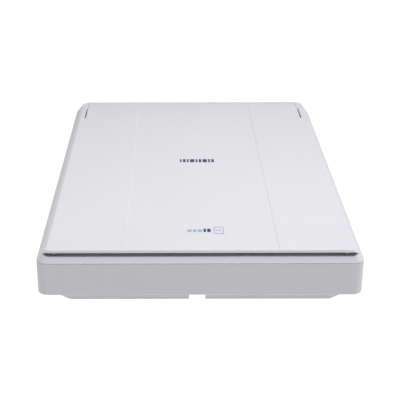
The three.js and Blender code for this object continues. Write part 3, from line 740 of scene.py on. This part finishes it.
def belt_recipe():
    make = Recipe("toothed belt", radius=6.85 * MM, span=335.0 * MM, band=0.7 * MM, width=4.0 * MM,
                  tooth=0.55 * MM, teeth=350)
    radius, width = make.size("radius"), make.size("width")
    across = make.sum("MULTIPLY", radius, 2.0)
    square = make.node("GeometryNodeCurvePrimitiveQuadrilateral", {"mode": "RECTANGLE"}, {
        "Width": across, "Height": make.sum("ADD", make.size("span"), across)})
    track = make.node("GeometryNodeFilletCurve", {"mode": "POLY"}, {
        "Curve": square, "Count": 20, "Radius": make.sum("MULTIPLY", radius, 0.9999)})
    section = make.node("GeometryNodeCurvePrimitiveQuadrilateral", {"mode": "RECTANGLE"}, {
        "Width": make.size("band"), "Height": width})
    band = make.node("GeometryNodeCurveToMesh", {}, {"Curve": track, "Profile Curve": section})
    pitch = make.node("GeometryNodeResampleCurve", {"mode": "COUNT"}, {
        "Curve": track, "Count": make.size("teeth")})
    along = make.node("GeometryNodeInputTangent")
    facing = make.node("FunctionNodeAlignEulerToVector", {"axis": "Y"}, {"Vector": along})
    tooth = make.node("GeometryNodeMeshCube", {}, {
        "Size": make.vector(make.size("tooth"), TOOTH_DEPTH, make.sum("MULTIPLY", width, 0.96))})
    inward = make.node("ShaderNodeVectorMath", {"operation": "CROSS_PRODUCT"}, {0: (0, 0, 1), 1: along})
    offset = make.node("ShaderNodeVectorMath", {"operation": "SCALE"}, {0: inward, "Scale": TOOTH_INSET})
    points = make.node("GeometryNodeSetPosition", {}, {"Geometry": pitch, "Offset": offset})
    teeth = make.node("GeometryNodeInstanceOnPoints", {}, {
        "Points": points, "Instance": tooth, "Rotation": facing})
    return make.end(make.join(band, teeth))


belt = grow(belt_recipe(), [(0, 0, 0)], belt_rubber)
belt_low, belt_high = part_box("timing_belt")
belt.transform(Matrix.Translation((Vector(belt_low) + Vector(belt_high)) / 2))
stand_in(belt, "toothed_belt", belt_rubber, "timing_belt")
print("belt:", len(belt.polygons), "faces")

# %% [markdown]
# ## Springs
# A spring is one wire on a helix. The recipe sweeps a round section along a spiral. The two lift springs stand
# as tall as their parts, and the belt's spring lies along its part at its full length.


def spring_recipe():
    make = Recipe("coil spring", coil=2.4 * MM, wire=0.3 * MM, turns=4.0, height=3.3 * MM)
    wire = make.size("wire")
    run = make.sum("SUBTRACT", make.size("height"), make.sum("MULTIPLY", wire, 2.0))
    spiral = make.node("GeometryNodeCurveSpiral", {}, {
        "Resolution": 24, "Rotations": make.size("turns"), "Start Radius": make.size("coil"),
        "End Radius": make.size("coil"), "Height": run})
    section = make.node("GeometryNodeCurvePrimitiveCircle", {"mode": "RADIUS"},
                        {"Resolution": 8, "Radius": wire})
    swept = make.node("GeometryNodeCurveToMesh", {}, {
        "Curve": spiral, "Profile Curve": section, "Fill Caps": True})
    smooth = make.node("GeometryNodeSetShadeSmooth", {}, {"Geometry": swept})
    return make.end(make.move(smooth, make.vector(z=wire)))


coil_spring = spring_recipe()
for side in ("left", "right"):
    node = f"sensor_spring_{side}"
    low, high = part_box(node)
    spring = grow(coil_spring, [(0, 0, 0)], spring_steel, height=high[2] - low[2])
    seat = Vector(((low[0] + high[0]) / 2, (low[1] + high[1]) / 2, low[2]))
    spring.transform(Matrix.Translation(seat))
    piece = stand_in(spring, f"lift_spring_{side}", spring_steel, node)
    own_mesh(piece)

low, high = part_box("tensioner_spring")
spring = grow(coil_spring, [(0, 0, 0)], spring_steel, coil=1.9 * MM, turns=7.0, height=high[1] - low[1])
spring.transform(Matrix.Rotation(-math.pi / 2, 4, "X"))
spring.transform(Matrix.Translation(((low[0] + high[0]) / 2, low[1], (low[2] + high[2]) / 2)))
stand_in(spring, "tension_spring", spring_steel, "tensioner_spring")
print("springs done")

# %% [markdown]
# ## Ribbon cable
# The sensor's cable is a row of fine conductors under one film, so its faces are scalloped. The recipe lays a
# grid along the route, and lifts it over each conductor.

# %% Ribbon recipe
# from the board to the parked sensor, seen from the side
ROUTE = [(148.6, 10.7), (145, 10.2), (141.5, 6.6), (137.5, 4.4), (132, 3.9), (126, 3.9), (118, 3.9), (0, 3.9),
         (-132, 3.9), (-140, 3.9), (-147, 4.3), (-153, 7), (-157.5, 11.6), (-163, 13.9)]


def ribbon_recipe():
    make = Recipe("ribbon cable", width=24.0 * MM, pitch=1.0 * MM, scallop=0.06 * MM)
    route = make.node("GeometryNodeMeshToCurve", {}, {"Mesh": make.inlet.outputs[0]})
    soft = make.node("GeometryNodeCurveSplineType", {"spline_type": "CATMULL_ROM"}, {"Curve": route})
    even = make.node("GeometryNodeResampleCurve", {"mode": "COUNT"}, {"Curve": soft, "Count": 240})
    grid = make.node("GeometryNodeMeshGrid", {}, {
        "Size X": make.size("width"), "Size Y": 1.0, "Vertices X": 97, "Vertices Y": 200})
    here = make.node("GeometryNodeInputPosition")
    x = make.node("ShaderNodeSeparateXYZ", {}, {0: here})
    y = x.node.outputs[1]
    place = make.node("GeometryNodeSampleCurve", {"mode": "FACTOR", "use_all_curves": True}, {
        "Curves": even, "Factor": make.sum("ADD", y, 0.5)}, "Position")
    along = place.node.outputs["Tangent"]
    up = make.node("ShaderNodeVectorMath", {"operation": "CROSS_PRODUCT"}, {0: along, 1: (1, 0, 0)})
    phase = make.sum("MULTIPLY", make.sum("DIVIDE", x, make.size("pitch")), math.pi)
    wave = make.sum("ABSOLUTE", make.sum("SINE", phase))
    lift = make.node("ShaderNodeVectorMath", {"operation": "SCALE"}, {
        0: up, "Scale": make.sum("MULTIPLY", wave, make.size("scallop"))})
    path = make.node("ShaderNodeVectorMath", {"operation": "ADD"}, {0: place, 1: lift})
    spread = make.node("ShaderNodeVectorMath", {"operation": "ADD"}, {0: path, 1: make.vector(x)})
    laid = make.node("GeometryNodeSetPosition", {}, {"Geometry": grid, "Position": spread})
    return make.end(make.node("GeometryNodeSetShadeSmooth", {}, {"Geometry": laid}))


FILM = 0.24 * MM
ribbon_x = centre("ribbon_cable").x
line = bpy.data.meshes.new("route")
stations = [(ribbon_x * MM, y * MM, z * MM) for y, z in ROUTE]
line.from_pydata(stations, [(i, i + 1) for i in range(len(ROUTE) - 1)], [])
cable = bpy.data.objects.new("cable", line)
scene.collection.objects.link(cable)
ribbon_tree = ribbon_recipe()
laying = cable.modifiers.new("recipe", "NODES")
laying.node_group = ribbon_tree.tree
laying[ribbon_tree.keys["finish"]] = ribbon_film
film_skin = cable.modifiers.new("film", "SOLIDIFY")
film_skin.thickness = FILM
film_skin.offset = 0
apply_modifiers(cable)
ribbon_mesh = cable.data
bpy.data.objects.remove(cable)
tidy_ribbon = bmesh.new()
tidy_ribbon.from_mesh(ribbon_mesh)
bmesh.ops.recalc_face_normals(tidy_ribbon, faces=tidy_ribbon.faces)
tidy_ribbon.to_mesh(ribbon_mesh)
tidy_ribbon.free()
piece = stand_in(ribbon_mesh, "sensor_ribbon", ribbon_film, "ribbon_cable")
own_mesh(piece)
print("ribbon:", len(ribbon_mesh.polygons), "faces")

# %% [markdown]
# ## Row of rod lenses
# A contact sensor images the page through hundreds of glass rods, each thinner than a pencil lead, standing
# in two staggered rows. Each rod has only a few sides, because there are so many.

# %% Rod lenses
ROW_ASIDE = 0.27 * MM


def lens_recipe():
    make = Recipe("rod lenses", radius=0.28 * MM, height=0.3 * MM, pitch=0.6 * MM, count=350)
    pitch = make.size("pitch")
    rod = make.node("GeometryNodeMeshCylinder", {"fill_type": "NGON"}, {
        "Vertices": 8, "Radius": make.size("radius"), "Depth": make.size("height")})
    rows = []
    for step, side in ((0.0, -1), (0.5, 1)):
        line = make.node("GeometryNodeMeshLine", {"mode": "OFFSET"}, {
            "Count": make.size("count"), "Offset": make.vector(pitch)})
        rows.append(make.move(line, make.vector(make.sum("MULTIPLY", pitch, step), side * ROW_ASIDE)))
    placed = make.node("GeometryNodeInstanceOnPoints", {}, {"Points": make.join(*rows), "Instance": rod})
    return make.end(placed)


low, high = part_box("lens_array")
lenses = grow(lens_recipe(), [(0, 0, 0)], light_pipe)
lenses.transform(Matrix.Translation((low[0] + 1.2 * MM, (low[1] + high[1]) / 2, high[2] + 0.13 * MM)))
add(lenses, "rod_lenses", light_pipe, "sensor_head")
print("rod lenses:", len(lenses.polygons), "faces")

# %% [markdown]
# ## Small made parts
# Feet, chips, prints and the socket's tongue are simple forms. `Form` collects blocks, turned shapes and flat
# outlines, all in millimetres, and hands back one closed mesh, softened when given a radius.

# %% Form
class Form:
    """Closed shapes, in millimetres, gathered in one mesh."""

    def __init__(self):
        self.shape = bmesh.new()

    def prism(self, outline, low, high):
        """A flat outline, counter-clockwise, between two levels."""
        bottom = [self.shape.verts.new((x * MM, y * MM, low * MM)) for x, y in outline]
        top = [self.shape.verts.new((x * MM, y * MM, high * MM)) for x, y in outline]
        self.shape.faces.new(bottom[::-1])
        self.shape.faces.new(top)
        for i in range(len(outline)):
            j = (i + 1) % len(outline)
            self.shape.faces.new((bottom[i], bottom[j], top[j], top[i]))
        return self

    def box(self, x, y, z):
        return self.prism([(x[0], y[0]), (x[1], y[0]), (x[1], y[1]), (x[0], y[1])], *z)

    def tab(self, x, y, z, r, steps=5):
        """A block with round upright corners."""
        left, right, front, back = x[0] + r, x[1] - r, y[0] + r, y[1] - r
        corners = [(right, back, 0), (left, back, 90), (left, front, 180), (right, front, 270)]
        outline = []
        for cx, cy, start in corners:
            for step in range(steps + 1):
                angle = math.radians(start + 90 * step / steps)
                outline.append((cx + r * math.cos(angle), cy + r * math.sin(angle)))
        return self.prism(outline, *z)

    def turned(self, profile, at, sides=40):
        """A closed profile of radius and height, turned about an upright axis."""
        angles = [2 * math.pi * i / sides for i in range(sides)]
        rings = []
        for r, z in profile:
            ring = []
            for angle in angles if r else [0]:
                x, y = at[0] + r * math.cos(angle), at[1] + r * math.sin(angle)
                ring.append(self.shape.verts.new((x * MM, y * MM, z * MM)))
            rings.append(ring)
        for lower, upper in zip(rings, rings[1:]):
            for i in range(sides):
                j = (i + 1) % sides
                below = [lower[i % len(lower)], lower[j % len(lower)]]
                above = [upper[j % len(upper)], upper[i % len(upper)]]
                self.shape.faces.new(list(dict.fromkeys(below + above)))
        return self

    def mesh(self, name, radius=0.0):
        bmesh.ops.recalc_face_normals(self.shape, faces=self.shape.faces)
        made = bpy.data.meshes.new(name)
        self.shape.to_mesh(made)
        self.shape.free()
        return soften(made, radius * MM) if radius else made

# %% [markdown]
# ## Feet and backing foam
# Each foot is a turned rubber disc with two grooves, so that it grips. The foam behind the mat is a soft slab:
# its edges crush a little where it was die-cut.

# %% Feet and foam
FOOT = [(0, 0.2), (1.6, 0.2), (1.9, 0), (3.3, 0), (3.6, 0.4), (4.2, 0.4), (4.5, 0), (5.9, 0), (6.5, 0.5),
        (6.5, 1.6), (0, 1.6)]
foot_nodes = [f"rubber_foot_{i}" for i in range(1, 5)]
feet = Form()
for node in foot_nodes:
    feet.turned(FOOT, centre(node))
stand_in(feet.mesh("feet"), "grip_feet", rubber, *foot_nodes)

foam_mesh = soften(merged_copy("lid_foam", "foam_slab"), 1.1 * MM, 4)
foam_slab = stand_in(foam_mesh, "backing_foam", foam, "lid_foam")
print("feet and foam done")

# %% [markdown]
# ## Printed marks
# Two small prints sit on the lid, a row of bars and a page outline beside short dashes, with a ruler and an
# arrow for the page by the glass. They are plain shapes that stand for no maker. The ink is a few hundredths
# of a millimetre proud.

# %% Lid prints
BAND_Z = 42.4
INK_DOWN, INK_UP = 0.02, 0.03
INK = (BAND_Z - INK_DOWN, BAND_Z + INK_UP)
BAR_WIDTHS, BAR_GAP, BAR_Y = (1.6, 2.4, 1.6, 4.0, 1.6, 2.4, 4.0, 1.6, 2.4), 1.3, (2.6, 10.6)
bars = Form()
left = -14.6
for width in BAR_WIDTHS:
    bars.tab((left, left + width), BAR_Y, INK, 0.7)
    left += width + BAR_GAP
add(bars.mesh("bars"), "bar_print", ink_slate, "lid")

dashes = Form()
for x0, x1 in ((-9.6, -6.2), (-5.2, -2.4), (-1.4, 2.4)):
    dashes.tab((x0, x1), (-149.4, -144.4), INK, 0.8)
add(dashes.mesh("dashes"), "dash_print", ink_sky, "lid")
short = Form()
for x0, x1 in ((3.4, 5.4), (6.3, 9.1)):
    short.tab((x0, x1), (-149.4, -143.2), INK, 0.7)
add(short.mesh("short"), "short_print", ink_navy, "lid")
page = Form()
PAGE_X, PAGE_Y, STROKE = (11.6, 19.6), (-153.0, -139.6), 0.7
inner_y = (PAGE_Y[0] + STROKE * 1.8, PAGE_Y[1] - STROKE * 1.8)
page.box(PAGE_X, (PAGE_Y[0], inner_y[0]), INK)
page.box(PAGE_X, (inner_y[1], PAGE_Y[1]), INK)
page.box((PAGE_X[0], PAGE_X[0] + STROKE), inner_y, INK)
page.box((PAGE_X[1] - STROKE, PAGE_X[1]), inner_y, INK)
page.box((PAGE_X[0] + 2, PAGE_X[1] - 2), (-147.4, -145.4), INK)
add(page.mesh("page"), "page_print", ink_mist, "lid")

# %% Ruler by the glass
def ruler_recipe():
    make = Recipe("ruler ticks", count=59, pitch=5.0 * MM, long=2.2 * MM, thin=0.25 * MM)
    spots = make.node("GeometryNodeMeshLine", {"mode": "OFFSET"}, {
        "Count": make.size("count"), "Offset": make.vector(y=make.size("pitch"))})
    tick = make.node("GeometryNodeMeshCube", {}, {
        "Size": make.vector(make.size("long"), make.size("thin"), 0.05 * MM)})
    index = make.node("GeometryNodeInputIndex")
    whole = make.sum("LESS_THAN", make.sum("MODULO", index, 2.0), 0.5)
    length = make.sum("ADD", 0.5, make.sum("MULTIPLY", whole, 0.5))
    copies = make.node("GeometryNodeInstanceOnPoints", {}, {
        "Points": spots, "Instance": tick, "Scale": make.vector(length, 1.0, 1.0)})
    return make.end(copies)


DECK_Z = 37.3
WINDOW_X, WINDOW_FRONT = 108.0, -165.0
ruler = ruler_recipe()
side_ticks = grow(ruler, [(0, 0, 0)], ink_grey)
side_ticks.transform(Matrix.Translation(Vector((-WINDOW_X - 1.9, WINDOW_FRONT + 1.5, DECK_Z)) * MM))
front_ticks = grow(ruler, [(0, 0, 0)], ink_grey, count=43)
front_ticks.transform(Matrix.Rotation(-math.pi / 2, 4, "Z"))
front_ticks.transform(Matrix.Translation(Vector((-105, WINDOW_FRONT - 1.9, DECK_Z)) * MM))
ARROW = [(-113.6, -168.2), (-110.2, -166.6), (-112.0, -164.8)]
arrow = Form().prism(ARROW, DECK_Z - INK_DOWN, DECK_Z + INK_UP).mesh("arrow")
arrow.materials.append(ink_grey)
add(together([side_ticks, front_ticks, arrow]), "page_ruler", ink_grey, "base")
print("prints done")

# %% [markdown]
# ## On the main board
# The board carries a controller, a memory and a regulator with leads on both sides, three capacitor cans and
# small passives. Leads repeat, so a recipe makes them; the bodies are softened blocks.

# %% Board parts
LEAD_WIDTH, LEAD_HEIGHT = 0.35 * MM, 0.18 * MM


def lead_recipe():
    make = Recipe("rows of leads", count=16, pitch=0.8 * MM, gap=14.0 * MM, reach=1.2 * MM)
    lead = make.node("GeometryNodeMeshCube", {}, {
        "Size": make.vector(make.size("reach"), LEAD_WIDTH, LEAD_HEIGHT)})
    span = make.sum("MULTIPLY", make.sum("SUBTRACT", make.size("count"), 1.0), make.size("pitch"))
    start = make.sum("MULTIPLY", span, -0.5)
    rows = []
    for sign in (-1, 1):
        line = make.node("GeometryNodeMeshLine", {"mode": "OFFSET"}, {
            "Count": make.size("count"), "Offset": make.vector(y=make.size("pitch"))})
        aside = make.sum("MULTIPLY", make.size("gap"), sign * 0.5)
        rows.append(make.move(line, make.vector(aside, start)))
    copies = make.node("GeometryNodeInstanceOnPoints", {}, {"Points": make.join(*rows), "Instance": lead})
    return make.end(copies)


leads = lead_recipe()
top = between_levels("main_board")[1]
# each chip's place, its size, its leads to a side and their pitch
CHIPS = [((68, 163), (13, 13), 16, 0.75), ((45, 166), (9, 11), 10, 1.0), ((98, 162), (5, 5), 4, 1.2)]
chips, rows = Form(), []
for (x, y), (wide, deep), count, pitch in CHIPS:
    chips.box((x - wide / 2, x + wide / 2), (y - deep / 2, y + deep / 2), (top + 0.15, top + 1.5))
    row = grow(leads, [(0, 0, 0)], tinned, count=count, pitch=pitch * MM, gap=(wide + 0.9) * MM)
    row.transform(Matrix.Translation(Vector((x, y, top + 0.2)) * MM))
    rows.append(row)
add(chips.mesh("chips", 0.12), "board_chips", black_plastic, "base")
add(together(rows), "chip_leads", tinned, "base")

CANS = [((84, 160), 3.1, 6.5), ((56, 174), 2.5, 5.5), ((78, 173), 1.5, 3)]
cans = Form()
for spot, r, height in CANS:
    foot, head = top + 0.1, top + height
    cans.turned([(0, foot), (r, foot), (r, head - 0.4), (r - 0.4, head), (0, head)], spot, 28)
add(cans.mesh("cans"), "capacitor_cans", plated_steel, "base")
SOCKET_SIDE = (76, 95)
passives = Form()
for i in range(26):
    x = 34 + (i * 7) % 64
    y = 158.5 + (i * 11) % 19
    clear = all(abs(x - cx) > wide / 2 + 2 or abs(y - cy) > deep / 2 + 2
                for (cx, cy), (wide, deep), _, _ in CHIPS)
    if clear and not SOCKET_SIDE[0] < x < SOCKET_SIDE[1]:
        passives.box((x - 0.8, x + 0.8), (y - 0.4, y + 0.4), (top + 0.05, top + 0.6))
add(passives.mesh("passives", 0.08), "board_passives", connector_plastic, "base")
print("board parts done")

# %% [markdown]
# ## Socket and label
# Behind the case wall the socket has its tongue and four contacts. The label under the scanner is blank.

# %% Socket tongue and blank label
socket_middle = centre("usb_socket")
middle_x, middle_z = socket_middle.x, socket_middle.z
tongue = Form().box((middle_x - 2.8, middle_x + 2.8), (175.2, 184.2), (middle_z - 1.6, middle_z + 1.6))
add(tongue.mesh("tongue", 0.25), "socket_tongue", connector_plastic, "base")
contacts = Form()
for x in (middle_x - 1.25, middle_x + 1.25):
    for z in (middle_z - 1.65, middle_z + 1.55):
        contacts.box((x - 0.5, x + 0.5), (176, 183.4), (z, z + 0.1))
add(contacts.mesh("contacts"), "socket_contacts", gold, "base")

label_paper = moulded("label_paper", "#f4f4f1", "#ececea", 0.35, 0.0009)
PLINTH_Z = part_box("lower_housing")[0].z / MM
LABEL_X, LABEL_Y, LABEL_CORNER, LABEL_THICKNESS = (-36, 36), (38, 78), 3, 0.12
label = Form().tab(LABEL_X, LABEL_Y, (PLINTH_Z - LABEL_THICKNESS, PLINTH_Z + 0.02), LABEL_CORNER)
add(label.mesh("label"), "blank_label", label_paper, "base")
print("socket and label done")

# %% Measure the scene's bounds
low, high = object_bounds()
